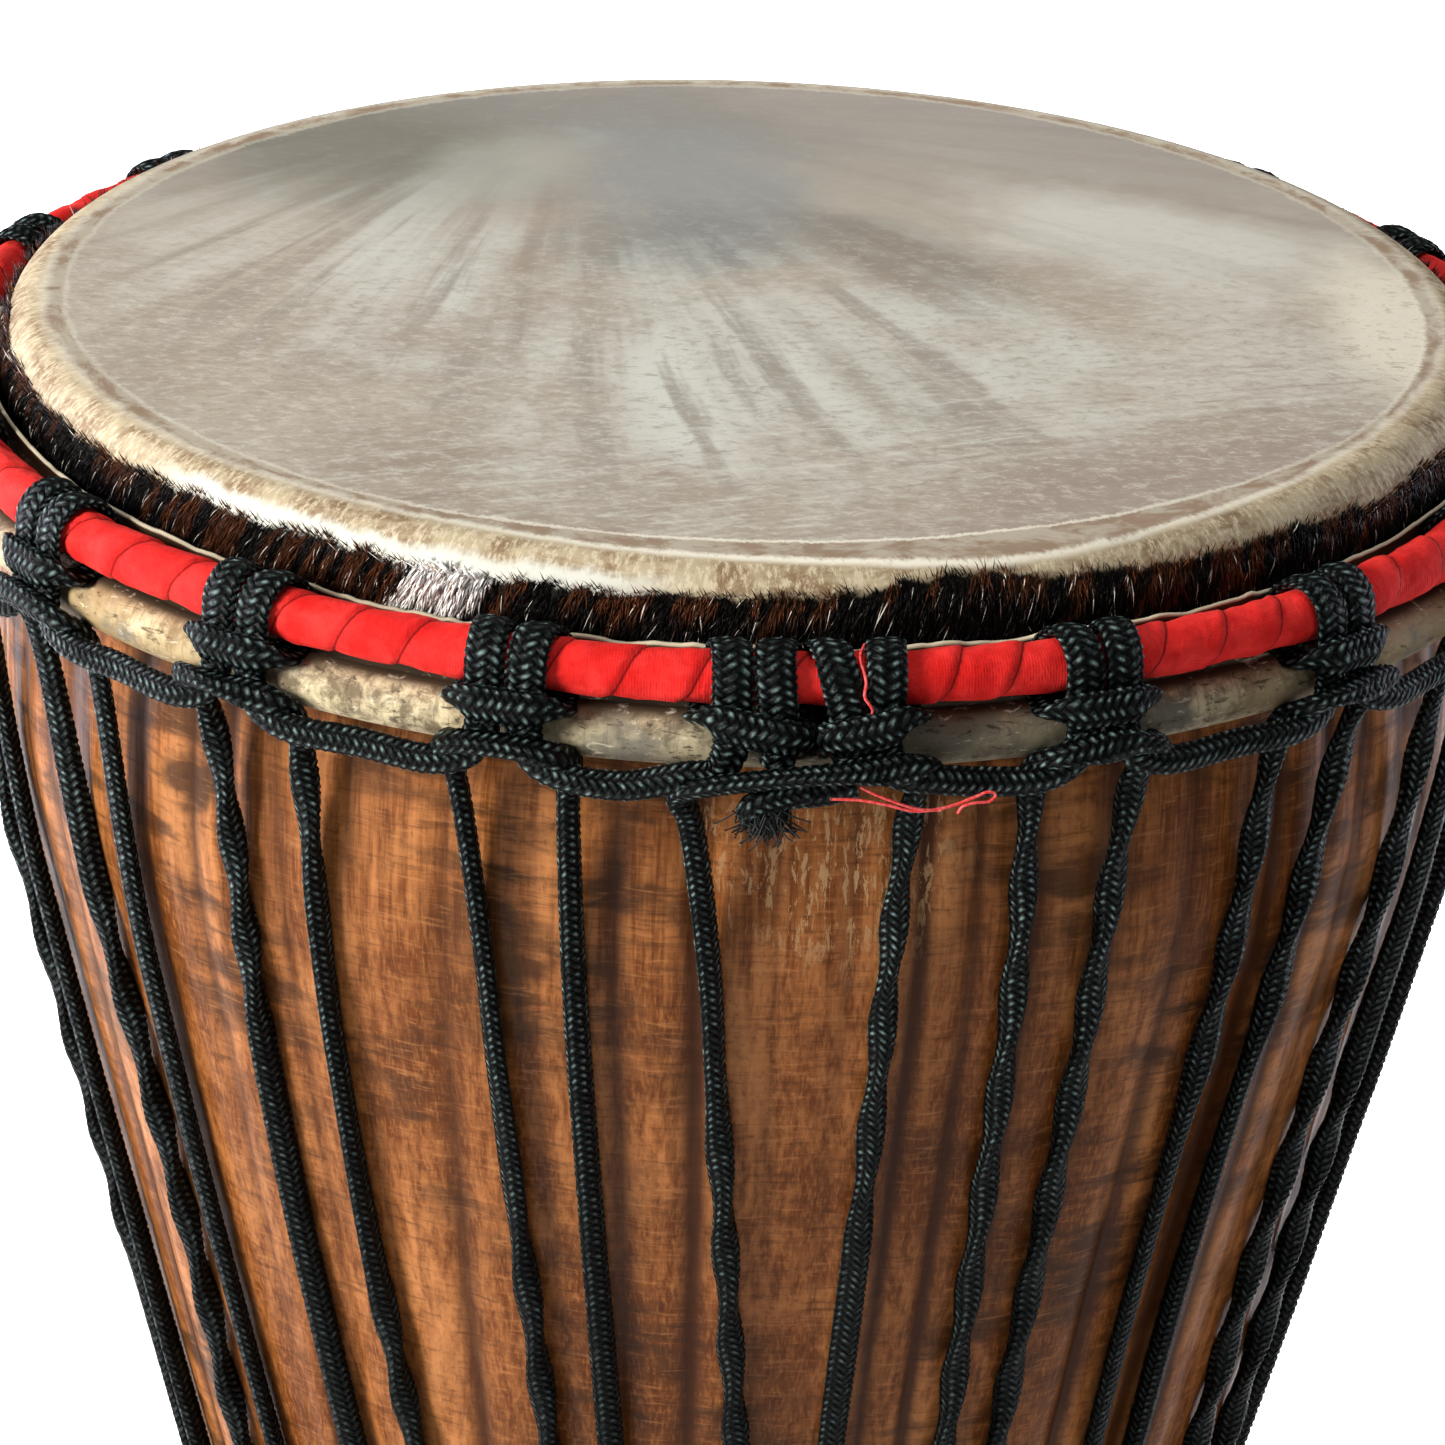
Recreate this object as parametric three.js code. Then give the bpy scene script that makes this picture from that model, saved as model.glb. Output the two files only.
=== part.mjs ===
// A rope-tuned djembe: a carved goblet shell, a goatskin head wrapped round a steel flesh ring,
// a crown ring and a bottom ring wound with cloth, a cradle rope hitched on each of those two
// rings, and one long lacing rope pulled to and fro between the cradles.
// Millimetres, +Z up, the origin at the middle of the foot, the front of the drum towards -Y.
import * as THREE from "three";

// ---------- driving dimensions ----------
const HEIGHT = 600; // foot to playing surface
const HEAD_RADIUS = 159.4; // outside of the skin at the bearing edge
const FOOT_RADIUS = 100;
const WAIST_RADIUS = 72;
const THROAT_RADIUS = 50;
const WALL = 16;
const SKIN = 0.9; // thickness of the goatskin
const CLEAR = 0.35; // gap kept between pieces that touch
const ROPE_RADIUS = 2.6;
const ROPE_SIDES = 5; // the ropes are plain here, and their braid is left to the finished surface
const AROUND = 32; // sides of a full turn of the shell, skin, rods and cloth
const ROD_RADIUS = 3.6; // the three rings are bent from the same rod
const CLOTH = 0.9; // thickness of the cloth wound on a ring
const KNOTS = 19; // hitches on each ring
const FIRST_KNOT = 4.8; // degrees from the front, towards +X
const PAIR = 3.35; // degrees from a knot to the lacing run on either side of it
const DOUBLE_PAIR = 6.75; // the same at the first knot, where the two ends of the cradle meet
const DOUBLE_OFFSET = 11.6; // from the first knot to each of its two hitches, along the ring
const SLANT = 3; // degrees that the lacing leans round from the crown ring to the bottom ring
// The bottom hitches near the front have crept round towards one angle, most of all those beside it.
const GATHER = { degrees: 3.6, about: 12, rate: 2.6 };
const TAIL_TURNS = 3; // turns of spare lacing rope round the waist

const CROWN = { radius: 171.5, height: HEIGHT - 16.3 };
const FLESH = { radius: 170.5, height: HEIGHT - 29.4 };
const BOTTOM = { radius: 111, height: HEIGHT - 338 };
const WOUND_RADIUS = ROD_RADIUS + CLEAR + CLOTH; // a ring with its cloth on
const SKINNED_RADIUS = ROD_RADIUS + CLEAR + SKIN; // the flesh ring with the skin on
const PITCH = (2 * Math.PI) / KNOTS;

// Outside of the shell, from the bearing edge down: [radius, height].
const BEARING_EDGE = { radius: 8, outer: HEAD_RADIUS - SKIN - CLEAR, top: HEIGHT - SKIN - CLEAR };
const BOWL = [
  [158.4, HEIGHT - 20],
  [162.3, HEIGHT - 44],
  [163.4, HEIGHT - 62],
  [162.9, HEIGHT - 82],
  [153.4, HEIGHT - 130],
  [139.4, HEIGHT - 190],
  [125.2, HEIGHT - 250],
  [110.6, HEIGHT - 306],
  [100.4, HEIGHT - 338],
  [92.5, HEIGHT - 362],
];
const STEM = [
  [80, HEIGHT - 392],
  [WAIST_RADIUS + 1, HEIGHT - 414],
  [WAIST_RADIUS, HEIGHT - 432],
  [75.5, HEIGHT - 470],
  [84, HEIGHT - 530],
  [FOOT_RADIUS - 3, HEIGHT - 590],
  [FOOT_RADIUS, HEIGHT - 597],
];

// The outside of the skin's trimmed edge, which stands up behind the crown ring.
const FLAP_RADIUS = HEAD_RADIUS + SKIN + 2 * CLEAR;
const FLAP = [
  [FLAP_RADIUS + 0.4, HEIGHT - 13],
  [FLAP_RADIUS, HEIGHT - 17.4],
  [FLAP_RADIUS + 1.4, HEIGHT - 20.5],
  [FLESH.radius - 3.9, FLESH.height + 4.2],
];

// ---------- helpers ----------
const rad = THREE.MathUtils.degToRad;

/** A point on the drum: angle from the front towards +X, distance from the axis, height. */
function polar(angle, radius, height) {
  return new THREE.Vector3(radius * Math.sin(angle), -radius * Math.cos(angle), height);
}

/** Points of an arc in the [radius, height] plane, angles in degrees from the outward direction. */
function arc(centre, radius, from, to, steps) {
  return Array.from({ length: steps + 1 }, (_, i) => {
    const a = rad(from + ((to - from) * i) / steps);
    return [centre[0] + radius * Math.cos(a), centre[1] + radius * Math.sin(a)];
  });
}

/** A solid of revolution about Z from a closed outline of [radius, height], listed clockwise. */
function revolve(outline) {
  const points = outline.map(([radius, height]) => new THREE.Vector2(radius, height)).reverse();
  return new THREE.LatheGeometry(points, AROUND).rotateX(Math.PI / 2);
}

/** Radius at a height along a list of [radius, height] stations that runs downwards. */
function radiusAt(stations, height) {
  const below = stations.findIndex(([, z]) => z < height);
  const [r1, z1] = stations[below];
  const [r0, z0] = stations[below - 1];
  return r0 + ((r1 - r0) * (z0 - height)) / (z0 - z1);
}

/** A path that steps from point to point, however far apart they are. */
class RopePath extends THREE.Curve {
  constructor(points) {
    super();
    this.spline = new THREE.CatmullRomCurve3(points, false, "centripetal");
  }
  getPoint(t) {
    return this.spline.getPoint(t);
  }
  getPointAt(u) {
    return this.spline.getPoint(u);
  }
  getTangentAt(u) {
    return this.spline.getTangent(u);
  }
}

/** A rope along a list of points, one step to a point. */
function rope(points) {
  const section = new THREE.Shape();
  for (let i = 0; i < ROPE_SIDES; i++) {
    const a = (i * 2 * Math.PI) / ROPE_SIDES;
    const move = i ? "lineTo" : "moveTo";
    section[move](ROPE_RADIUS * Math.cos(a), ROPE_RADIUS * Math.sin(a));
  }
  section.closePath();
  const extrudePath = new RopePath(points);
  return new THREE.ExtrudeGeometry(section, { steps: points.length - 1, extrudePath });
}

/** Presses a rope flat where it would run into a ring, so that it lies against it. */
function pressOff(geometry, ring, ringRadius) {
  const at = geometry.getAttribute("position");
  for (let i = 0; i < at.count; i++) {
    const out = Math.hypot(at.getX(i), at.getY(i));
    const across = out - ring.radius;
    const up = at.getZ(i) - ring.height;
    const reach = Math.hypot(across, up);
    if (reach >= ringRadius + CLEAR) continue;
    const grow = (ringRadius + CLEAR) / reach;
    const radius = ring.radius + across * grow;
    at.setXYZ(i, (at.getX(i) * radius) / out, (at.getY(i) * radius) / out, ring.height + up * grow);
  }
  return geometry;
}

/** Presses a rope outwards where it would run into a wall given by its stations. */
function pressOutside(geometry, wallStations) {
  const at = geometry.getAttribute("position");
  const top = wallStations[0][1];
  const foot = wallStations.at(-1)[1];
  for (let i = 0; i < at.count; i++) {
    if (at.getZ(i) >= top || at.getZ(i) <= foot) continue;
    const out = Math.hypot(at.getX(i), at.getY(i));
    const wall = radiusAt(wallStations, at.getZ(i)) + CLEAR;
    if (out < wall) at.setXYZ(i, (at.getX(i) * wall) / out, (at.getY(i) * wall) / out, at.getZ(i));
  }
  return geometry;
}

const object = new THREE.Group();

/** Adds a named piece with its own material. */
function add(name, geometry, color, roughness, metalness = 0) {
  const mesh = new THREE.Mesh(geometry, new THREE.MeshStandardMaterial({ color, roughness, metalness }));
  mesh.name = name;
  object.add(mesh);
}

// ---------- shell ----------
/** The carved shell: a rounded bearing edge, a bowl, a waist and a flared foot, open right through. */
function shell() {
  const edge = [BEARING_EDGE.outer - BEARING_EDGE.radius, BEARING_EDGE.top - BEARING_EDGE.radius];
  const inside = [
    [FOOT_RADIUS - 20, 0],
    [THROAT_RADIUS + 6, HEIGHT - 480],
    [THROAT_RADIUS, HEIGHT - 430],
    [THROAT_RADIUS + 2, HEIGHT - 402],
    [70, HEIGHT - 372],
    [BOWL[7][0] - WALL - 4, BOWL[7][1]],
    [BOWL[5][0] - WALL, BOWL[5][1]],
    [BOWL[3][0] - WALL, BOWL[3][1]],
    [BEARING_EDGE.outer - WALL, HEIGHT - 26],
    [edge[0] - 3, BEARING_EDGE.top - 1],
  ];
  const top = arc(edge, BEARING_EDGE.radius, 90, 0, 3);
  const outline = [...top, ...BOWL, ...STEM, [FOOT_RADIUS - 1, 0], ...inside];
  return revolve([...outline, outline[0]]);
}

// ---------- skin ----------
/** The goatskin: playing surface, skirt, a turn round the flesh ring, trimmed edge behind the crown ring. */
function skin() {
  const edge = [HEAD_RADIUS - 9, HEIGHT - 9];
  const ring = [FLESH.radius, FLESH.height];
  const under = ROD_RADIUS + CLEAR;
  const outer = [
    [0, HEIGHT],
    ...arc(edge, 9, 90, 0, 3),
    [HEAD_RADIUS, HEIGHT - 19],
  ];
  const skirtEnd = [ring[0] - under, ring[1] + 1.5];
  const turn = arc(ring, under, -180, 90, 7); // from the ring's inner side, below and outside, to its top
  const turnBack = arc(ring, SKINNED_RADIUS, 90, -180, 7);
  const inward = ([r, z], i) => (i < FLAP.length - 1 ? [r - SKIN, z] : [r - 0.3, z - SKIN]);
  const flapInside = FLAP.map(inward).reverse();
  const inner = [
    [ring[0] - SKINNED_RADIUS, ring[1] + 1.2],
    [HEAD_RADIUS - SKIN, HEIGHT - 19.4],
    ...arc(edge, 9 - SKIN, 0, 90, 3),
    [0, HEIGHT - SKIN],
  ];
  return revolve([...outer, skirtEnd, ...turn, ...flapInside, ...FLAP, ...turnBack, ...inner]);
}

// ---------- rings ----------
function ringRod(ring) {
  return new THREE.TorusGeometry(ring.radius, ROD_RADIUS, 6, AROUND).translate(0, 0, ring.height);
}

/** The cloth wound on a ring, with its seam left open on the side towards the shell. */
function ringCloth(ring) {
  const centre = [ring.radius, ring.height];
  const outside = arc(centre, WOUND_RADIUS, 172, -172, 7);
  const inside = arc(centre, WOUND_RADIUS - CLOTH, -172, 172, 6);
  return revolve([...outside, ...inside, outside[0]]);
}

// ---------- ropes ----------
// Half of a cow hitch on a ring, from the middle of its bight to the swag: along the ring, away
// from the ring's middle outwards, and away from it towards the ring's slack side (down at the top).
const HITCH = [
  [0, 13.4, 4.9],
  [6.4, 12.6, 5.1],
  [9.0, 8.2, 6.3],
  [8.7, 1.6, 7.9],
  [7.4, -5.6, 5.8],
  [6.0, -8.2, -1.2],
  [4.5, -3.8, -7.3],
  [3.6, 3.8, -7.3],
  [3.1, 8.3, -1.0],
  [3.1, 8.2, 12.5],
  [6.6, 8.6, 20.0],
  [13.0, 9.2, 23.0],
];
// Half of a lacing turn, from its middle, in front of the hitch's legs, to its way behind the swag.
const TURN = [
  [0, 13.8, 13.1],
  [6.5, 13.6, 13.5],
  [12.4, 10.9, 15.2],
  [13.2, 5.4, 19.0],
  [11.6, 1.2, 25.0],
];
// The lacing's spare end leaves the same way, then passes outside the ring beside the hitch.
const WAY_TO_WAIST = [
  [12, -5, -26],
  [15, 3.6, -10],
  [15.2, 8.2, -1],
  [15, 8.3, 9],
  [13.4, 5.0, 19.0],
  [11.6, 1.2, 25.0],
];
const SWAG_DROP = 24.4;
const SWAG_OUT = 8.4;

/** Points of both halves of a knot, left to right; up is -1 on the crown ring and 1 on the bottom ring. */
function bothHalves(half, ring, angle, up, shift = 0) {
  const side = (sign) =>
    half.map(([along, out, drop]) =>
      polar(angle + (sign * along + shift) / ring.radius, ring.radius + out, ring.height + up * drop),
    );
  return [...side(-1).reverse(), ...side(1).slice(1)];
}

/** The cradle: a hitch at every knot and a swag between neighbours; its ends lie at the first knot. */
function cradle(ring, up, knotAngle, splitFirst) {
  const points = [];
  const offset = splitFirst ? DOUBLE_OFFSET : 0;
  for (let k = 0; k < KNOTS; k++) {
    const angle = knotAngle(k);
    points.push(...bothHalves(HITCH, ring, angle, up, k ? 0 : offset));
    const between = (angle + knotAngle(k + 1)) / 2 + (k ? 0 : offset / 2 / ring.radius);
    if (k < KNOTS - 1)
      points.push(polar(between, ring.radius + SWAG_OUT, ring.height + up * SWAG_DROP));
  }
  const last = knotAngle(0) + 2 * Math.PI;
  const lastSwag = (last + knotAngle(KNOTS - 1)) / 2;
  if (splitFirst) {
    const between = lastSwag - offset / 2 / ring.radius;
    points.push(polar(between, ring.radius + SWAG_OUT, ring.height + up * SWAG_DROP));
    points.push(...bothHalves(HITCH, ring, last, up, -offset).slice(0, -1));
    points.shift();
  } else {
    const end = last - 17.5 / ring.radius; // the last swag is tied off beside the first knot
    points.push(polar(lastSwag, ring.radius + SWAG_OUT, ring.height + up * SWAG_DROP));
    points.push(polar(end, ring.radius + SWAG_OUT, ring.height + up * SWAG_DROP));
  }
  return rope(points);
}

const topKnot = (k) => rad(FIRST_KNOT) + k * PITCH;

/** The angle of a bottom hitch, level all round but for the ones near the front. */
function bottomKnot(k) {
  const angle = topKnot(k) + PITCH / 2 + rad(SLANT);
  const fromFront = THREE.MathUtils.euclideanModulo(angle + Math.PI, 2 * Math.PI) - Math.PI;
  const swing = THREE.MathUtils.clamp(GATHER.rate * (rad(GATHER.about) - fromFront), -Math.PI, Math.PI);
  return angle + rad(GATHER.degrees) * Math.sin(swing);
}

/** The heights at which a lacing run is laid on the bowl. */
const RUN = BOWL.slice(3, 8).map(([radius, height]) => [radius + ROPE_RADIUS + 2 * CLEAR, height]);

/** A lacing run down the bowl, from its angle at the crown ring to its angle at the bottom ring. */
function run(from, to) {
  return RUN.map(([radius, height]) => {
    const down = (CROWN.height - 25 - height) / (CROWN.height - 50 - BOTTOM.height);
    return polar(from + (to - from) * down, radius, height);
  });
}

/** The lacing rope: up and down through the cradles all round, then its spare end wound on the waist. */
function lacing() {
  const half = PITCH / 2 - rad(PAIR);
  const points = [polar(bottomKnot(-1) + half, RUN.at(-1)[0], RUN.at(-1)[1])];
  for (let k = 0; k < KNOTS; k++) {
    const pair = rad(k ? PAIR : DOUBLE_PAIR);
    const turn = k ? TURN : TURN.map(([along, out, drop]) => [(along * pair) / rad(PAIR), out + 0.4, drop]);
    if (!k) points.push(...run(topKnot(k) - pair, bottomKnot(-1) + half).reverse().slice(1));
    points.push(...bothHalves(turn, CROWN, topKnot(k), -1));
    points.push(...run(topKnot(k) + pair, bottomKnot(k) - half));
    if (k === KNOTS - 1) break;
    points.push(...bothHalves(TURN, BOTTOM, bottomKnot(k), 1));
    points.push(...run(topKnot(k + 1) - rad(PAIR), bottomKnot(k) + half).reverse());
  }
  points.push(...bothHalves(WAY_TO_WAIST, BOTTOM, bottomKnot(KNOTS - 1), 1).slice(0, WAY_TO_WAIST.length));
  const start = bottomKnot(KNOTS - 1) - rad(2);
  const steps = TAIL_TURNS * 18;
  for (let i = 0; i <= steps; i++) {
    const turned = (i / steps) * TAIL_TURNS;
    const height = HEIGHT - 368 - turned * (2 * ROPE_RADIUS + CLEAR);
    const radius = radiusAt([...BOWL, ...STEM], height) + 1.15 * ROPE_RADIUS + 4 * CLEAR;
    points.push(polar(start + turned * 2 * Math.PI, radius, height));
  }
  return rope(points);
}

add("shell", shell(), 0x7c3a1a, 0.35);
add("drumhead_skin", skin(), 0xb9ad97, 0.7);
add("flesh_ring", ringRod(FLESH), 0x6a6a68, 0.45, 0.9);
add("crown_ring", ringRod(CROWN), 0x6a6a68, 0.45, 0.9);
add("crown_ring_cloth", ringCloth(CROWN), 0xd8181c, 0.85);
add("bottom_ring", ringRod(BOTTOM), 0x6a6a68, 0.45, 0.9);
add("bottom_ring_cloth", ringCloth(BOTTOM), 0xd8181c, 0.85);
const topCradle = pressOff(cradle(CROWN, -1, topKnot, true), CROWN, WOUND_RADIUS + 3 * CLEAR);
pressOutside(pressOff(topCradle, FLESH, SKINNED_RADIUS + 2.3 * CLEAR), FLAP);
add("top_cradle_rope", topCradle, 0x14191a, 0.6);
const bottomCradle = cradle(BOTTOM, 1, bottomKnot, false);
add("bottom_cradle_rope", pressOff(bottomCradle, BOTTOM, WOUND_RADIUS + 3 * CLEAR), 0x14191a, 0.6);
add("lacing_rope", pressOff(lacing(), FLESH, SKINNED_RADIUS), 0x14191a, 0.6);

export default object;
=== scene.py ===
"""The looks of a rope-tuned djembe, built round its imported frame. Lengths are in millimetres until they
reach a mesh; angles run from the drum's front (-Y) towards +X; heights are above the floor."""
import math
import bpy
import numpy as np
from mathutils import Matrix, Vector


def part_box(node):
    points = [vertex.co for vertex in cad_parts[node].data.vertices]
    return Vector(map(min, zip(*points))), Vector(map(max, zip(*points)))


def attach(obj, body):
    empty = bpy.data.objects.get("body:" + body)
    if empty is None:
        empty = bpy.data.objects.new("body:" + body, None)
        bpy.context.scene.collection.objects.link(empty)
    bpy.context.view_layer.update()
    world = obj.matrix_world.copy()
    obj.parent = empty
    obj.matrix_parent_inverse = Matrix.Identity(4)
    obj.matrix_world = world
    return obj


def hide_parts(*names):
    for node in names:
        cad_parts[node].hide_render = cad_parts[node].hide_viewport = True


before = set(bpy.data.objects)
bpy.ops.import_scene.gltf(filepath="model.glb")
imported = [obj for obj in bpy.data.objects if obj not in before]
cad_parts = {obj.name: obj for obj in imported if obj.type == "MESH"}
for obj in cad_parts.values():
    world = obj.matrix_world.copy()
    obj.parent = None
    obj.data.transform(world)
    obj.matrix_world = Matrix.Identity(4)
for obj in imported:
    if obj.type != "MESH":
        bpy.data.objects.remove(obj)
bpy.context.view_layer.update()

MM = 0.001
TAU = 2 * math.pi

# ---------- dimensions, from the frame where it has them ----------
ROD = 3.6
ROPE = 2.6
STRANDS = 8  # braid strands that cross a line round the rope
PICK = 1.9  # length of rope that each strand covers in crossing one other
CLOTH_RADIUS = ROD + 1.65  # a ring with its cloth on
SKIN = 0.9
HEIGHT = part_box("drumhead_skin")[1].z / MM
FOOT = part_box("shell")[0].z / MM
KNOTS = 19
FIRST_KNOT = math.radians(4.8)
PAIR = math.radians(3.35)
DOUBLE_PAIR = math.radians(6.75)
SLANT = math.radians(3)
GATHER, GATHER_ABOUT, GATHER_RATE = math.radians(3.6), math.radians(12), 2.6
PITCH = TAU / KNOTS
DOUBLE_OFFSET = 10.2  # from the first knot to each of its two hitches
HEAD = 159.4  # outside of the skin at the bearing edge
EDGE = 9.0  # rounding of the bearing edge


def ring_of(node):
    """Radius and height of the middle of a bent rod."""
    low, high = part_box(node)
    return high.x / MM - ROD, (low.z + high.z) / 2 / MM


CROWN = ring_of("crown_ring")
FLESH = ring_of("flesh_ring")
BOTTOM = ring_of("bottom_ring")

# Outside and inside of the shell: radius, and distance below the playing surface.
OUTSIDE = [(158.4, 9), (158.4, 20), (162.3, 44), (163.4, 62), (162.9, 82), (153.4, 130), (139.4, 190),
           (125.2, 250), (110.6, 306), (100.4, 338), (92.5, 362), (80, 392), (73, 414), (72, 432),
           (75.5, 470), (84, 530), (97, 590), (99.3, 597)]
INSIDE = [(80, 600), (56, 480), (50, 430), (52, 402), (70, 372), (90.6, 306), (123.4, 190), (146.9, 82),
          (142.2, 26), (147, 4.2)]

# Half of a cow hitch, from the middle of its bight to the swag: along the ring, outwards from the
# ring's middle, and from it towards the slack side (down at the crown ring, up at the bottom ring).
HITCH = [(0, 9.4, 6.2), (6.0, 8.9, 6.4), (9.1, 5.4, 7.6), (8.8, 0.2, 7.8), (7.6, -4.6, 5.0),
         (6.4, -6.6, -0.8), (5.2, -3.7, -5.5), (4.4, 1.5, -6.4), (4.1, 5.6, -3.4), (4.0, 6.6, 0.5),
         (4.0, 6.5, 6.0), (4.1, 7.0, 12.0), (6.6, 8.0, 17.2), (12.6, 8.6, 19.6)]
# Half of a lacing turn, from in front of the hitch's legs to its way behind the swag.
TURN = [(0, 10.8, 13.6), (6.0, 10.4, 14.0), (10.6, 8.7, 15.6), (12.4, 4.2, 18.6), (11.4, 0.8, 25.0)]
WAY_TO_WAIST = [(12, -5, -26), (15, 3.6, -10), (15.2, 8.2, -1), (15, 8.3, 9), (13.4, 5.0, 19.0),
                (11.6, 1.2, 25.0)]
SWAG = (8.0, 19.5)  # outwards and towards the slack side, half way between two knots
SLACK = 1.0  # the last swag of the crown ring hangs lower by this
RING_DEPTH, RINGS_APART = 41.3, 271.7  # depth of the crown ring, and from it to the bottom ring
RUN_END = 306  # depth at which a lacing run meets the bottom knot
HAIRS = 52000
# The cradle rope's short spare end, doubled under the first knot.
TAIL = [(0, 8.4, 19.4), (-4.5, 9.2, 20.4), (-8.5, 9.8, 21.8), (-10.2, 9.6, 23.9), (-7.6, 9.0, 24.9),
        (-5.2, 8.4, 23.2), (-7.4, 7.6, 21.6), (-2, 7.4, 21.0), (4, 7.2, 20.4), (9, 6.8, 19.0)]
# The cradle's ends share the first knot, so its two hitches are pulled askew: each one's shift along the
# ring, the slope of its bight, and the lean of its left and right strands.
ASKEW = {-1: (0.24, 0.0, -0.6), 1: (-0.22, -1.5, 0.0)}


# ---------- small geometry helpers ----------
def polar(angle, radius, height):
    """Points from angle, distance from the axis and height, which may be arrays."""
    angle, radius, height = np.broadcast_arrays(angle, radius, height)
    return np.stack([radius * np.sin(angle), -radius * np.cos(angle), height], -1).astype(float)


def unit(vectors):
    return vectors / np.maximum(np.linalg.norm(vectors, axis=-1, keepdims=True), 1e-9)


def smooth(low, high, value):
    t = np.clip((value - low) / (high - low), 0, 1)
    return t * t * (3 - 2 * t)


def hermite(stations, depth):
    """Radius at a depth through [radius, depth] stations, as a smooth curve without overshoot."""
    radius, at = np.array(stations, float).T
    order = np.argsort(at)
    radius, at = radius[order], at[order]
    slope = np.diff(radius) / np.diff(at)
    bend = np.concatenate([[slope[0]], (slope[1:] + slope[:-1]) / 2, [slope[-1]]])
    bend[1:-1][slope[1:] * slope[:-1] <= 0] = 0
    depth = np.clip(depth, at[0], at[-1])
    i = np.clip(np.searchsorted(at, depth) - 1, 0, len(slope) - 1)
    width = at[i + 1] - at[i]
    t = (depth - at[i]) / width
    return ((2 * t**3 - 3 * t**2 + 1) * radius[i] + (t**3 - 2 * t**2 + t) * width * bend[i]
            + (3 * t**2 - 2 * t**3) * radius[i + 1] + (t**3 - t**2) * width * bend[i + 1])


def mottle(u, v, columns, rows, seed):
    """Smooth noise from 0 to 1 over a grid that repeats in u every 1 and in v every 1."""
    grid = np.random.default_rng(seed).random((columns, rows))
    x, y = (u % 1) * columns, (v % 1) * rows
    i, j = np.floor(x).astype(int), np.floor(y).astype(int)
    fx, fy = smooth(0, 1, x - i), smooth(0, 1, y - j)
    g = lambda a, b: grid[(i + a) % columns, (j + b) % rows]
    return (g(0, 0) * (1 - fx) + g(1, 0) * fx) * (1 - fy) + (g(0, 1) * (1 - fx) + g(1, 1) * fx) * fy


def wander(turns, count, seed):
    """Smooth noise from 0 to 1 round the drum, with a new value count times a turn."""
    return mottle(turns, 0 * turns, count, 1, seed)


def spline(points, per_span=14):
    """A centripetal Catmull-Rom curve through the points, as a dense polyline."""
    p = np.asarray(points, float)
    p = np.vstack([2 * p[0] - p[1], p, 2 * p[-1] - p[-2]])
    out = []
    for a, b, c, d in zip(p, p[1:], p[2:], p[3:]):
        k = np.cumsum([0] + [max(np.linalg.norm(y - x), 1e-6) ** 0.5 for x, y in ((a, b), (b, c), (c, d))])
        t = np.linspace(k[1], k[2], per_span, endpoint=False)[:, None]
        ab = (k[1] - t) / k[1] * a + t / k[1] * b
        bc = (k[2] - t) / (k[2] - k[1]) * b + (t - k[1]) / (k[2] - k[1]) * c
        cd = (k[3] - t) / (k[3] - k[2]) * c + (t - k[2]) / (k[3] - k[2]) * d
        left = (k[2] - t) / k[2] * ab + t / k[2] * bc
        right = (k[3] - t) / (k[3] - k[1]) * bc + (t - k[1]) / (k[3] - k[1]) * cd
        out.append((k[2] - t) / (k[2] - k[1]) * left + (t - k[1]) / (k[2] - k[1]) * right)
    return np.vstack(out + [p[-2:-1]])


def even(path, step):
    """A polyline resampled at an even step, with its arc lengths."""
    along = np.concatenate([[0], np.cumsum(np.linalg.norm(np.diff(path, axis=0), axis=1))])
    s = np.linspace(0, along[-1], max(int(along[-1] / step), 2) + 1)
    return np.stack([np.interp(s, along, path[:, i]) for i in range(3)], -1), s


def carried_frames(path):
    """Tangents, and two directions across them that turn no more than the path does."""
    tangent = unit(np.gradient(path, axis=0))
    across = np.zeros_like(path)
    start = np.cross(tangent[0], (0, 0, 1.0))
    across[0] = unit(start if np.linalg.norm(start) > 0.1 else np.cross(tangent[0], (1.0, 0, 0)))
    for i in range(1, len(path)):
        moved = across[i - 1] - (across[i - 1] @ tangent[i]) * tangent[i]
        across[i] = moved / max(np.linalg.norm(moved), 1e-9)
    return tangent, across, np.cross(tangent, across)


def circles(across, side, sides):
    """A circle of unit directions round each point of a path."""
    turn = (np.arange(sides) * TAU / sides)[None, :, None]
    return np.cos(turn) * across[:, None] + np.sin(turn) * side[:, None]


def by_first_knot(points):
    """A route from (along, out, drop) in mm, from the middle of the crown ring at the first knot."""
    along, out, drop = np.array(points, float).T
    return spline(polar(FIRST_KNOT + along / CROWN[0], CROWN[0] + out, CROWN[1] - drop))


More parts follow.
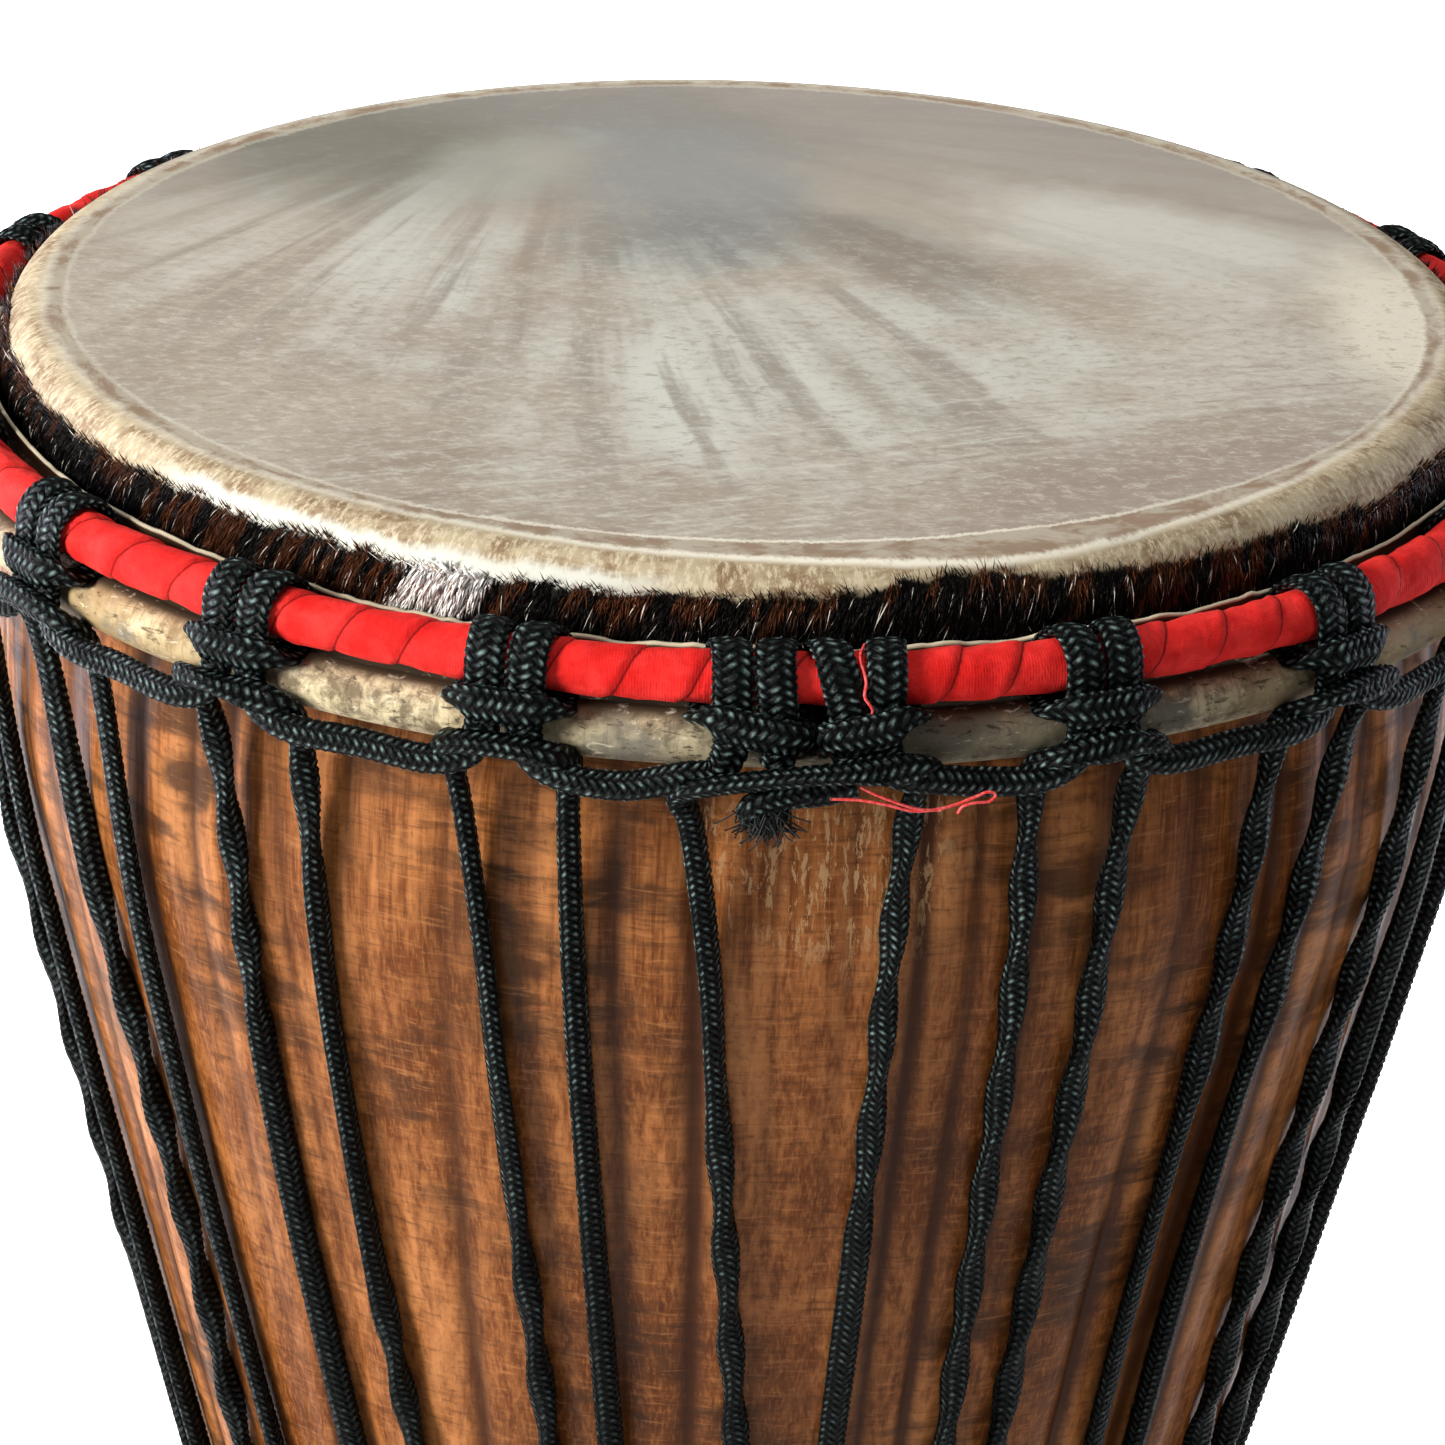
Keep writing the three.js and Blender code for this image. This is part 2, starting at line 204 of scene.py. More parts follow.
# ---------- meshes ----------
def make_piece(name, vertices, faces, material, replaces=(), uv=None, values=None, colours=None):
    """A mesh piece from millimetre vertices, riding on the drum and standing for the CAD nodes named.
    uv has one pair per face corner; values and colours have one entry per vertex."""
    mesh = bpy.data.meshes.new(name)
    mesh.from_pydata((np.asarray(vertices) * MM).tolist(), [], [list(map(int, f)) for f in faces])
    if uv is not None:
        mesh.uv_layers.new(name="UVMap").data.foreach_set("uv", np.asarray(uv, np.float32).ravel())
    for key, value in (values or {}).items():
        data = mesh.attributes.new(key, "FLOAT", "POINT").data
        data.foreach_set("value", np.asarray(value, np.float32).ravel())
    if colours is not None:
        rgba = np.concatenate([colours, np.ones((len(colours), 1))], 1).astype(np.float32)
        mesh.color_attributes.new("Col", "FLOAT_COLOR", "POINT").data.foreach_set("color", rgba.ravel())
    mesh.polygons.foreach_set("use_smooth", [True] * len(mesh.polygons))
    mesh.update()
    mesh.validate()
    piece = bpy.data.objects.new(name, mesh)
    bpy.context.scene.collection.objects.link(piece)
    piece.data.materials.append(material)
    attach(piece, "root")
    if replaces:
        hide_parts(*replaces)


def quads(rows, columns, close_rows, close_columns, uv_rows, uv_columns):
    """Faces of a grid of vertices, and the (u, v) of their corners: u runs along rows, v along columns."""
    i = np.arange(rows if close_rows else rows - 1)
    j = np.arange(columns if close_columns else columns - 1)
    i, j = (a.ravel() for a in np.meshgrid(i, j, indexing="ij"))
    i1, j1 = i + 1, j + 1
    index = lambda a, b: (a % rows) * columns + b % columns
    faces = np.stack([index(i, j), index(i1, j), index(i1, j1), index(i, j1)], -1)
    corners = [(i, j), (i1, j), (i1, j1), (i, j1)]
    uv = np.stack([np.stack([uv_rows[a], uv_columns[b]], -1) for a, b in corners], 1)
    return faces, uv.reshape(-1, 2)


# ---------- materials ----------
class Field:
    """A value that shader nodes work out at each point. Arithmetic on it adds math nodes."""

    def __init__(self, socket):
        self.socket, self.tree = socket, socket.id_data

    __add__ = lambda self, other: maths("ADD", self, other)
    __sub__ = lambda self, other: maths("SUBTRACT", self, other)
    __rsub__ = lambda self, other: maths("SUBTRACT", other, self)
    __mul__ = lambda self, other: maths("MULTIPLY", self, other)
    __pow__ = lambda self, other: maths("POWER", self, other)


def set_input(made, key, value):
    if isinstance(value, Field):
        value.tree.links.new(value.socket, made.inputs[key])
    else:
        made.inputs[key].default_value = value


def node(tree, kind, inputs=None, out=0, **settings):
    """Adds a node, sets or links its inputs, and returns one of its outputs."""
    made = tree.nodes.new("ShaderNode" + kind)
    for key, value in settings.items():
        setattr(made, key, value)
    for key, value in (inputs or {}).items():
        set_input(made, key, value)
    return Field(made.outputs[out])


def new_material(name):
    """A material, and the place of each point on the object."""
    material = bpy.data.materials.new(name)
    material.use_nodes = True
    return material, node(material.node_tree, "TexCoord", out=3)


def maths(operation, a, b=0.0, c=0.0):
    tree = next(value.tree for value in (a, b, c) if isinstance(value, Field))
    return node(tree, "Math", {0: a, 1: b, 2: c}, operation=operation)


def attribute(at, name):
    return node(at.tree, "Attribute", {}, out=2, attribute_name=name)


def parts(vector, count=2):
    """The first parts of a vector: x, y and z, or u and v."""
    return [node(vector.tree, "SeparateXYZ", {0: vector}, out=i) for i in range(count)]


def span(value, low, high, to_low=0.0, to_high=1.0):
    """Rises smoothly from to_low to to_high as the value goes from low to high."""
    return node(value.tree, "MapRange", {0: value, 1: low, 2: high, 3: to_low, 4: to_high},
                interpolation_type="SMOOTHSTEP")


def blend(factor, a, b):
    """Mixes two colours."""
    a, b = ((*colour, 1) if isinstance(colour, tuple) else colour for colour in (a, b))
    return node(factor.tree, "Mix", {0: factor, 6: a, 7: b}, out=2, data_type="RGBA")


def tinted(colour, *layers):
    """A colour turned towards each layer's tone, by up to a share, as its value goes from low to high."""
    for value, low, high, share, tone in layers:
        colour = blend(span(value, low, high, 0.0, share), colour, tone)
    return colour


def stretched(vector, x, y, z):
    return node(vector.tree, "Mapping", {"Vector": vector, "Scale": (x, y, z)})


def noise(vector, scale, detail=4.0, rough=0.55, distortion=0.0):
    """Noise at one scale, or at a scale for each axis."""
    if isinstance(scale, tuple):
        vector, scale = stretched(vector, *scale), 1.0
    inputs = {"Vector": vector, "Scale": scale, "Detail": detail, "Roughness": rough, "Distortion": distortion}
    return node(vector.tree, "TexNoise", inputs)


def finish_material(material, colour, roughness, height, strength, distance, **constants):
    """Links or sets the shader's inputs, and returns the material. A constant's name has _ for a space."""
    shader = material.node_tree.nodes["Principled BSDF"]
    bump = node(colour.tree, "Bump", {"Height": height, "Strength": strength, "Distance": distance})
    for key, value in {"Base Color": colour, "Roughness": roughness, "Normal": bump}.items():
        set_input(shader, key, value)
    for key, value in constants.items():
        shader.inputs[key.replace("_", " ")].default_value = value
    return material


def wood_material():
    """Stained hardwood under satin varnish: upright grain, dark cross figure, stain and painted shade in the
    gouge lines.
    """
    material, at = new_material("varnished_hardwood")
    flute = attribute(at, "flute")
    fibre = noise(at, (420, 420, 22), 5, 0.62)
    hair = noise(at, (1500, 1500, 90), 3, 0.6)
    broad = noise(at, (30, 30, 9), 4, 0.6, 0.5)
    smudge = noise(at, (34, 34, 105), 4, 0.55, 0.6)
    wisp = noise(at, (60, 60, 420), 5, 0.62, 0.8)
    ripple = noise(at, (110, 110, 900), 4, 0.65, 0.4)
    speckle = noise(at, (900, 900, 420), 3, 0.6)
    figured = span(noise(at, (14, 14, 11), 2, 0.5), 0.40, 0.6)
    colour = blend(span(fibre, 0.34, 0.66), (0.165, 0.046, 0.009), (0.46, 0.172, 0.052))
    colour = tinted(colour, (broad, 0.40, 0.64, 0.85, (0.121, 0.030, 0.0047)),
                    (broad, 0.48, 0.32, 0.75, (0.52, 0.215, 0.075)),
                    (hair, 0.45, 0.7, 0.55, (0.421, 0.164, 0.047)))
    colour = blend(span(smudge, 0.44, 0.63) * figured * 0.84, colour, (0.047, 0.020, 0.0078))
    colour = blend(span(wisp, 0.52, 0.72) * figured * 0.6, colour, (0.039, 0.0172, 0.0070))
    # The flute layer darkens the gouge lines: partly stain, partly painted shade.
    colour = tinted(colour, (ripple, 0.52, 0.70, 0.55, (0.075, 0.026, 0.007)),
                    (ripple, 0.46, 0.30, 0.35, (0.56, 0.24, 0.085)),
                    (flute, 0.08, 0.75, 0.92, (0.040, 0.011, 0.0025)),
                    (speckle, 0.50, 0.72, 0.4, (0.06, 0.020, 0.006)))
    # Chipped varnish under the first knot.
    chips_at = (0.020, -0.160, HEIGHT * MM - 0.056)
    from_chips = node(at.tree, "VectorMath", {0: stretched(at, 1, 1, 1), 1: chips_at}, out=1,
                      operation="DISTANCE")
    chips = noise(at, (620, 620, 150), 5, 0.75, 0.4)
    chipped = span(chips, 0.54, 0.58) * span(from_chips, 0.036, 0.012)
    colour = blend(chipped * 0.85, colour, (0.468, 0.281, 0.133))
    return finish_material(material, colour, span(fibre, 0.3, 0.7, 0.40, 0.28), fibre * 0.7 + speckle * 0.5,
                           0.3, 0.0005, Specular_IOR_Level=0.09, Coat_Weight=0.05, Coat_Roughness=0.18)


def patch(at, centre, size, turn, ragged=0.35):
    """A soft ragged patch on the head: centre and half sizes in metres, turned by degrees."""
    place = {"Vector": at, "Location": (*centre, HEIGHT * MM), "Rotation": (0, 0, math.radians(turn)),
             "Scale": (*size, 1)}
    local = node(at.tree, "Mapping", place, vector_type="TEXTURE")
    far = node(at.tree, "VectorMath", {0: local}, out=1, operation="LENGTH")
    return span(far + (noise(at, 35, 4, 0.6) - 0.5) * (ragged * 4), 1.25, 0.35)


def patched(colour, at, patches):
    """A colour with soft patches: centre, half sizes, turn, share and tone of each."""
    for centre, size, turn, share, tone in patches:
        colour = blend(patch(at, centre, size, turn) * share, colour, tone)
    return colour


def playing_surface(at):
    """The head's colour, and a noise that follows its streaks."""
    x, y = parts(at)
    # Streaks fan out from a point behind and left of the middle.
    fan_x, fan_y = x + 0.045, y - 0.130
    turn = maths("ARCTAN2", fan_x, fan_y * -1.0)
    far = maths("SQRT", fan_x ** 2.0 + fan_y ** 2.0)
    bent = turn + (noise(at, 9, 2, 0.5) - 0.5) * 0.07
    spokes = node(at.tree, "CombineXYZ", {0: bent * 5.2, 1: far * 3.2})
    broad = noise(spokes, 1.25, 3, 0.5)
    thin = noise(spokes, (3.1, 2.2, 1), 4, 0.58)
    # Strokes of the scraper run across the front and right of the head.
    across = node(at.tree, "CombineXYZ", {0: (x + y * 0.5) * 24.0, 1: (y - x * 0.38) * 190.0})
    stroke = noise(across, 1.0, 5, 0.66, 1.0)
    cloud = noise(at, (16, 16, 1), 4, 0.6, 0.8)
    crackle = noise(at, (260, 420, 1), 6, 0.78, 0.4)
    colour = blend(span(cloud, 0.3, 0.7), (0.40, 0.325, 0.250), (0.51, 0.440, 0.345))
    colour = tinted(colour, (y, 0.0, 0.14, 0.85, (0.36, 0.325, 0.285)))
    pale = (0.68, 0.66, 0.57)
    colour = patched(colour, at, (
        ((-0.088, 0.088), (0.052, 0.048), 20, 0.9, (0.215, 0.205, 0.160)),
        ((-0.030, 0.120), (0.055, 0.030), -10, 0.8, (0.285, 0.270, 0.235)),
        ((-0.012, 0.070), (0.032, 0.060), 18, 0.85, (0.32, 0.325, 0.305)),
        ((0.090, 0.045), (0.052, 0.032), -30, 0.85, pale),
        ((0.110, -0.030), (0.030, 0.040), 0, 0.5, pale),
        ((-0.105, -0.015), (0.035, 0.060), -10, 0.35, (0.53, 0.450, 0.350))))
    middle = patch(at, (0.005, -0.045), (0.080, 0.080), 14, 0.5)
    left = patch(at, (-0.085, 0.020), (0.050, 0.065), -12, 0.4)
    fans = maths("MAXIMUM", middle, left)
    away = span(far, 0.035, 0.125)
    lit = span(broad + thin * 0.5, 0.62, 0.92) * 0.85
    streaks = lit * away * maths("MULTIPLY_ADD", fans, 0.8, 0.12)
    colour = blend(middle * 0.5, colour, (0.55, 0.535, 0.455))
    colour = patched(colour, at, (
        ((0.000, -0.050), (0.022, 0.062), -8, 0.65, (0.76, 0.76, 0.67)),
        ((0.035, -0.058), (0.012, 0.034), 30, 0.6, (0.33, 0.300, 0.230)),
        ((-0.012, 0.036), (0.034, 0.026), 20, 0.8, (0.25, 0.255, 0.235)),
        ((0.036, 0.024), (0.020, 0.040), 34, 0.8, (0.25, 0.210, 0.165)),
        ((-0.058, 0.078), (0.018, 0.036), -30, 0.5, (0.52, 0.52, 0.45))))
    colour = blend(streaks, colour, (0.72, 0.725, 0.645))
    shade = span(thin, 0.50, 0.36) * away * span(fans, 0.0, 1.0, 0.2, 0.85)
    colour = blend(shade, colour, (0.37, 0.335, 0.280))
    colour = blend(span(broad, 0.46, 0.30) * away * 0.45, colour, (0.31, 0.290, 0.250))
    front = span(y * -1.0 + x * 0.45, 0.045, 0.10)
    colour = blend(span(stroke, 0.52, 0.68) * front * 0.9, colour, (0.66, 0.645, 0.550))
    colour = blend(span(stroke, 0.46, 0.32) * front * 0.65, colour, (0.33, 0.265, 0.210))
    rosy = patch(at, (0.082, -0.106), (0.080, 0.030), 36, 0.3)
    colour = blend(rosy * 0.75, colour, (0.375, 0.300, 0.240))
    cream = patch(at, (0.139, -0.006), (0.018, 0.048), 4, 0.25)
    colour = blend(cream, colour, (0.82, 0.755, 0.60))
    fore = span(y, 0.075, -0.03, 0.12, 1.0)
    colour = blend(span(crackle, 0.48, 0.66, 0.0, 0.65) * fore, colour, (0.70, 0.67, 0.58))
    colour = blend(span(crackle, 0.50, 0.32, 0.0, 0.75) * fore, colour, (0.36, 0.305, 0.240))
    return colour, thin, crackle


def scored_band(at, ragged, comb, blotch, playing):
    """The shaved band over the bearing edge, with two scored lines and a white strip by the hair."""
    score_a, score_b, lip, strip, scored = (
        attribute(at, name) for name in ("score_a", "score_b", "lip", "strip", "scored"))
    tan = blend(span(blotch, 0.36, 0.62), (0.27, 0.175, 0.095), (0.52, 0.425, 0.275))
    tan = tinted(tan, (comb, 0.46, 0.62, 0.8, (0.74, 0.64, 0.45)),
                 (parts(at)[1], 0.03, 0.12, 0.8, (0.42, 0.395, 0.34)))
    past_a, past_b = ragged - score_a, ragged - score_b
    between = blend(span(blotch, 0.4, 0.6), (0.33, 0.23, 0.15), (0.52, 0.46, 0.35))
    colour = tinted(playing, (past_a, -0.3, 1.0, 0.9, between))
    colour = blend(span(past_b, -0.6, 0.8), colour, tan)
    for past, width, share in ((past_a, 1.1, 0.85), (past_b, 2.1, 1.0)):
        line = span(maths("ABSOLUTE", past), width, 0.15) * span(comb, 0.3, 0.5, 0.6, 1.0)
        colour = blend(line * (scored * share), colour, (0.94, 0.89, 0.73))
    to_lip = lip - ragged
    colour = blend(span(to_lip, 5.5, 2.5) * strip, colour, (0.74, 0.74, 0.65))
    return colour, to_lip


def skirt(at, rim):
    """Skin darkened by the roots of its hair, but for a white tuft."""
    strands = noise(rim, (7.0, 7.0, 0.5), 3, 0.6)
    streaked = blend(span(strands, 0.46, 0.54), (0.02, 0.018, 0.016), (0.7, 0.7, 0.66))
    return blend(attribute(at, "tuft"), (0.010, 0.007, 0.005), streaked)


def raw_skin(at, rim, reach):
    """The raw, stained skin that is turned round the flesh ring, with a painted shadow along its top."""
    raw = noise(at, 210, 6, 0.68, 0.3)
    wrinkle = noise(at, (160, 160, 520), 5, 0.65, 1.4)
    colour = blend(span(raw, 0.36, 0.62), (0.22, 0.165, 0.095), (0.90, 0.76, 0.48))
    colour = tinted(colour, (noise(rim, (0.9, 0.9, 0.12), 5, 0.7, 0.6), 0.52, 0.66, 0.55, (0.10, 0.070, 0.040)),
                    (noise(at, 15, 2, 0.5), 0.47, 0.62, 0.85, (0.42, 0.29, 0.14)),
                    (noise(at, (40, 40, 60), 4, 0.6), 0.48, 0.60, 0.85, (0.19, 0.185, 0.16)))
    colour = blend(attribute(at, "raw_tone"), colour, (0.19, 0.165, 0.115))
    # The reach layer is a painted shadow along the top of the turned skin, under the red ring.
    return tinted(colour, (wrinkle, 0.57, 0.66, 0.8, (0.05, 0.036, 0.022)),
                  (reach, 205.5, 208.5, 1.0, (0.07, 0.05, 0.03)), (wrinkle, 0.42, 0.3, 0.6, (1.0, 0.93, 0.72)))


def skin_material():
    """Goatskin: scraped playing surface with a fan of pale streaks, a shaved and scored edge, dark haired
    skirt, and raw skin turned round the flesh ring."""
    material, at = new_material("goatskin")
    reach, edge = attribute(at, "reach"), attribute(at, "edge")
    playing, thin, crackle = playing_surface(at)
    # Noise that runs outwards from the head's middle and on down the skirt.
    heading = node(at.tree, "VectorMath", {0: stretched(at, 1, 1, 0)}, operation="NORMALIZE")
    down = node(at.tree, "CombineXYZ", {2: reach})
    rim = node(at.tree, "VectorMath", {0: stretched(heading, 160, 160, 160), 1: down}, operation="ADD")
    comb = noise(rim, (0.8, 0.8, 0.35), 5, 0.75)
    blotch = noise(rim, (0.09, 0.09, 0.16), 4, 0.65, 0.5)
    ragged = reach + (comb + blotch - 1.0) * 3.2
    colour, to_lip = scored_band(at, ragged, comb, blotch, playing)
    colour = blend(span(to_lip, 0.8, -0.6), colour, skirt(at, rim))
    colour = blend(span(reach, 184.5, 186.5), colour, raw_skin(at, rim, reach))
    colour = tinted(colour, (edge, 0.1, 0.5, 1.0, (0.11, 0.075, 0.04)),
                    (edge, 0.86, 0.96, 1.0, (0.70, 0.61, 0.43)))
    height = noise(at, 1100, 4, 0.7) * 0.25 + crackle * 0.5
    rough = span(thin, 0.3, 0.7, 0.66, 0.54)
    return finish_material(material, colour, rough, height, 0.3, 0.0004, Specular_IOR_Level=0.12)


def hair_material():
    material, at = new_material("goat_hair")
    colour = node(at.tree, "Attribute", {}, attribute_name="Col")
    return finish_material(material, colour, 0.42, noise(at, 3000, 2), 0.1, 0.0001, Specular_IOR_Level=0.18)


def rope_material():
    """Braided black synthetic cord: each strand floats over two others; its crowns carry painted highlights,
    and the gaps between strands painted shade.
    """
    material, at = new_material("black_rope")
    along, around = parts(node(at.tree, "UVMap", {}, uv_map="UVMap"))
    a, b = around + along, around - along
    part_a, part_b = maths("FRACT", a), maths("FRACT", b)
    place = maths("FLOORED_MODULO", maths("FLOOR", a) + maths("FLOOR", b), 4.0)
    over = maths("LESS_THAN", place, 1.5)
    across = node(at.tree, "Mix", {0: over, 2: part_b, 3: part_a})
    length = node(at.tree, "Mix", {0: over, 2: place - 2.0 + part_a, 3: place + part_b}) * (math.pi / 2)
    lift = maths("SINE", across * math.pi) ** 0.8 * maths("SINE", length)
    # Random break-up of the painted highlights from pick to pick.
    glint_scatter = noise(at, 420, 3, 0.7)
    fibre = noise(at, 2600, 3, 0.6)
    # Painted shade: the painted highlights fade to 0.3 of their strength towards the bottom of the drum.
    glint_fade_low = span(parts(at, 3)[2], (HEIGHT - 190) * MM, (HEIGHT - 60) * MM, 0.3, 1.0)
    # Painted highlights on the crowns of the strands.
    glint = lift ** 4.5 * span(glint_scatter, 0.42, 0.62, 0.05, 1.0)
    # Painted shade between the strands, lighter on their crowns.
    colour = blend(span(lift, 0.25, 0.9), (0.0005, 0.0009, 0.0009), (0.0045, 0.0072, 0.0070))
    colour = blend(glint * glint_fade_low, colour, (0.21, 0.30, 0.285))
    return finish_material(material, colour, span(fibre, 0.3, 0.7, 0.34, 0.5), lift + fibre * 0.2, 0.75, 0.0006,
                           Specular_IOR_Level=0.09)


def cloth_material():
    """Red plain-weave cotton, with painted shade in its rucks and along the edge of each lap. u counts the laps
    of the strip along the ring and v the turns round it.
    """
    material, at = new_material("red_cloth")
    uv = node(at.tree, "UVMap", {}, uv_map="UVMap")
    u, v = parts(uv)
    threads = [node(at.tree, "TexWave", {"Vector": stretched(uv, 8, 15, 1), "Scale": 1.0, "Distortion": 0.6,
                                      "Detail": 2.0}, bands_direction=way, out=1) for way in ("X", "Y")]
    phase = maths("FRACT", u - v + attribute(at, "drift"))
    # Painted shade along the edge of each lap, where it drops under the next lap.
    to_lap_edge = maths("MINIMUM", phase, 1.0 - phase)
    lap_edge_shade = maths("MAXIMUM", span(to_lap_edge, 0.035, 0.0), span(phase, 0.82, 1.0, 0.0, 0.3))
    ruck = noise(at, (260, 260, 90), 4, 0.6, 0.6)
    colour = blend(span(noise(at, 120, 5, 0.6), 0.35, 0.7), (0.72, 0.012, 0.010), (0.96, 0.038, 0.032))
    # The ruck layer is painted shade in the hollows of the rucks.
    colour = tinted(colour, (ruck, 0.5, 0.36, 0.3, (0.52, 0.003, 0.003)),
                    (noise(at, 900, 3), 0.6, 0.78, 0.3, (0.9, 0.06, 0.055)))
    colour = blend(lap_edge_shade * 0.9, colour, (0.16, 0.001, 0.001))
    height = (threads[0] + threads[1]) * 0.1 + ruck * 1.6
    return finish_material(material, colour, 0.78, height, 0.45, 0.0006, Specular_IOR_Level=0.15,
                           Sheen_Weight=0.1, Sheen_Tint=(1.0, 0.25, 0.2, 1.0))


def strand_material(name, scale, low, high, dark, light, roughness, strength):
    """A thin fibre or thread, a little uneven in tone."""
    material, at = new_material(name)
    dust = noise(at, scale, 3)
    colour = blend(span(dust, low, high), dark, light)
    return finish_material(material, colour, roughness, dust, strength, 0.0001)


def steel_material():
    """Plain steel rod, a little rusty."""
    material, at = new_material("ring_steel")
    scale = noise(at, 90, 5, 0.65)
    colour = blend(span(scale, 0.4, 0.7), (0.30, 0.29, 0.28), (0.16, 0.09, 0.055))
    rough = span(scale, 0.35, 0.7, 0.32, 0.7)
    return finish_material(material, colour, rough, scale, 0.2, 0.0004, Metallic=0.9)


def floor_material():
    material, at = new_material("pale_floor")
    colour = blend(noise(at, 3, 2), (0.90, 0.90, 0.90), (0.93, 0.93, 0.93))
    return finish_material(material, colour, 0.9, noise(at, 40, 2), 0.02, 0.001)


WOOD, HIDE, HAIR, CORD, CLOTH, STEEL = (make() for make in (
    wood_material, skin_material, hair_material, rope_material, cloth_material, steel_material))
FIBRE = strand_material("rope_fibre", 1800, 0.5, 0.7, (0.001, 0.002, 0.002), (0.006, 0.009, 0.009), 0.6, 0.1)
THREAD = strand_material("loose_thread", 1400, 0.35, 0.65, (0.85, 0.03, 0.03), (1.0, 0.16, 0.15), 0.8, 0.2)


# ---------- camera and light ----------
# The camera's numbers are in UNITs: how far it stands in front of the axis and above the head, and how far
# to the left of the axis and below the head it looks.
UNIT = HEAD * MM / 0.99625
EYE_BACK, EYE_UP, AIM_LEFT, AIM_DOWN = 7.6527, 2.7304, 0.0117, 0.6328
LENS, SENSOR, ROLL = 149.5, 36.0, math.radians(2.02)
MIDDLE = (0, 0, 0.45)  # the point that most lamps face

# Each lamp's place, aim, width, height, watts, colour and spread in degrees.
LAMPS = {
    "key": ((-2.3, -1.3, 1.45), MIDDLE, 0.9, 0.9, 112, (1.0, 0.975, 0.94), 180),
    "fill": ((1.6, -1.9, 1.5), MIDDLE, 1.0, 1.0, 3.5, (1.0, 0.98, 0.95), 180),
    "overhead": ((0.1, 0.1, 2.6), (0, -0.02, HEIGHT * MM), 0.9, 0.9, 1.2, (1.0, 0.99, 0.97), 50),
    "floor_light": ((0, 1.5, 2.2), (0, 1.5, 0), 1.3, 1.7, 34, (1, 1, 1), 48),
    "window_left": ((-1.7, 0.9, 0.7), MIDDLE, 0.5, 1.3, 36, (0.84, 0.84, 1.0), 180),
    "window_right": ((1.7, 0.9, 0.7), MIDDLE, 0.45, 1.3, 15, (0.84, 0.85, 1.0), 180),
}


def set_camera():
    """A long lens above the drum's front, rolled a little, looking down over the near edge of the head."""
    eye = Vector((0, -EYE_BACK * UNIT, HEIGHT * MM + EYE_UP * UNIT))
    target = Vector((-AIM_LEFT * UNIT, 0, HEIGHT * MM - AIM_DOWN * UNIT))
    data = bpy.data.cameras.new("camera")
    data.sensor_width, data.lens = SENSOR, LENS
    camera = bpy.data.objects.new("camera", data)
    bpy.context.scene.collection.objects.link(camera)
    aim = (target - eye).to_track_quat("-Z", "Y").to_matrix().to_4x4()
    camera.matrix_world = Matrix.Translation(eye) @ aim @ Matrix.Rotation(ROLL, 4, "Z")
    bpy.context.scene.camera = camera


def set_light():
    world = bpy.data.worlds.new("studio")
    world.use_nodes = True
    world.node_tree.nodes["Background"].inputs["Color"].default_value = (0.95, 0.97, 1.0, 1)
    world.node_tree.nodes["Background"].inputs["Strength"].default_value = 0.12
    bpy.context.scene.world = world
    for name, (at, aim, width, height, watts, colour, spread) in LAMPS.items():
        data = bpy.data.lights.new(name, "AREA")
        data.shape, data.size, data.size_y, data.energy, data.color = "RECTANGLE", width, height, watts, colour
        data.spread = math.radians(spread)
        lamp = bpy.data.objects.new(name, data)
        bpy.context.scene.collection.objects.link(lamp)
        lamp.location = at
        lamp.rotation_euler = (Vector(aim) - Vector(at)).to_track_quat("-Z", "Y").to_euler()
    bpy.context.scene.view_settings.view_transform = "Standard"


def make_floor():
    size = 14.0
    mesh = bpy.data.meshes.new("floor")
    corners = [(x * size, y * size, FOOT * MM - 0.0005) for x, y in ((-1, -1), (1, -1), (1, 1), (-1, 1))]
    mesh.from_pydata(corners, [], [(0, 1, 2, 3)])
    floor = bpy.data.objects.new("floor", mesh)
    bpy.context.scene.collection.objects.link(floor)
    floor.data.materials.append(floor_material())


set_camera()
set_light()
make_floor()


# ---------- shell ----------
def flute_depth(angle, depth):
    """Carving lines between rounded ridges: 0 on a ridge and up to 1 in a line."""
    turns = angle / TAU
    warped = 64 * turns + 1.1 * wander(turns, 32, 3) + 0.3 * mottle(turns, depth / 900, 30, 5, 4)
    strength = 0.2 + 0.8 * mottle(np.round(warped) / 64, depth / 700, 64, 3, 5)
    return (1 - np.abs(np.sin(math.pi * warped))) ** 1.15 * strength


def shell_piece():
    """The carved shell with gouge flutes down its outside."""
    around = 760
    edge = [(158.15 - 8 + 8 * math.cos(a), 1.25 + 8 - 8 * math.sin(a)) for a in np.linspace(TAU / 4, 0, 7)]
    outer_depth = np.concatenate([np.linspace(9.6, 40, 12), np.linspace(43, 596.4, 205)])
    outer = np.stack([hermite(OUTSIDE, outer_depth), outer_depth], -1)
    foot = np.array([(98.9, 598.6), (97.6, HEIGHT), (89, HEIGHT), (81.2, HEIGHT), (80, 599)])
    inner_depth = np.linspace(592, 6, 60)
    inner = np.stack([hermite(INSIDE, inner_depth), inner_depth], -1)
    outline = np.vstack([edge, outer, foot, inner, [(148.4, 2.2)]])
    angle = np.arange(around) * TAU / around
    a, depth = np.meshgrid(angle, outline[:, 1], indexing="ij")
    radius = np.broadcast_to(outline[:, 0], a.shape).copy()
    carved = np.zeros(len(outline))
    carved[len(edge):len(edge) + len(outer)] = 1
    carved = carved * smooth(14, 40, outline[:, 1]) * smooth(598, 585, outline[:, 1])
    flute = flute_depth(a, depth) * carved
    radius -= 1.5 * flute
    vertices = polar(a, radius, HEIGHT - depth).reshape(-1, 3)
    along = np.concatenate([[0], np.cumsum(np.linalg.norm(np.diff(outline, axis=0), axis=1))])
    along = np.append(along, along[-1] + 3)
    turns = np.arange(around + 1) / around * 1000
    faces, uv = quads(around, len(outline), True, True, turns, along)
    make_piece("shell_carved", vertices, faces, WOOD, ("shell",), uv,
               {"flute": flute.ravel()})


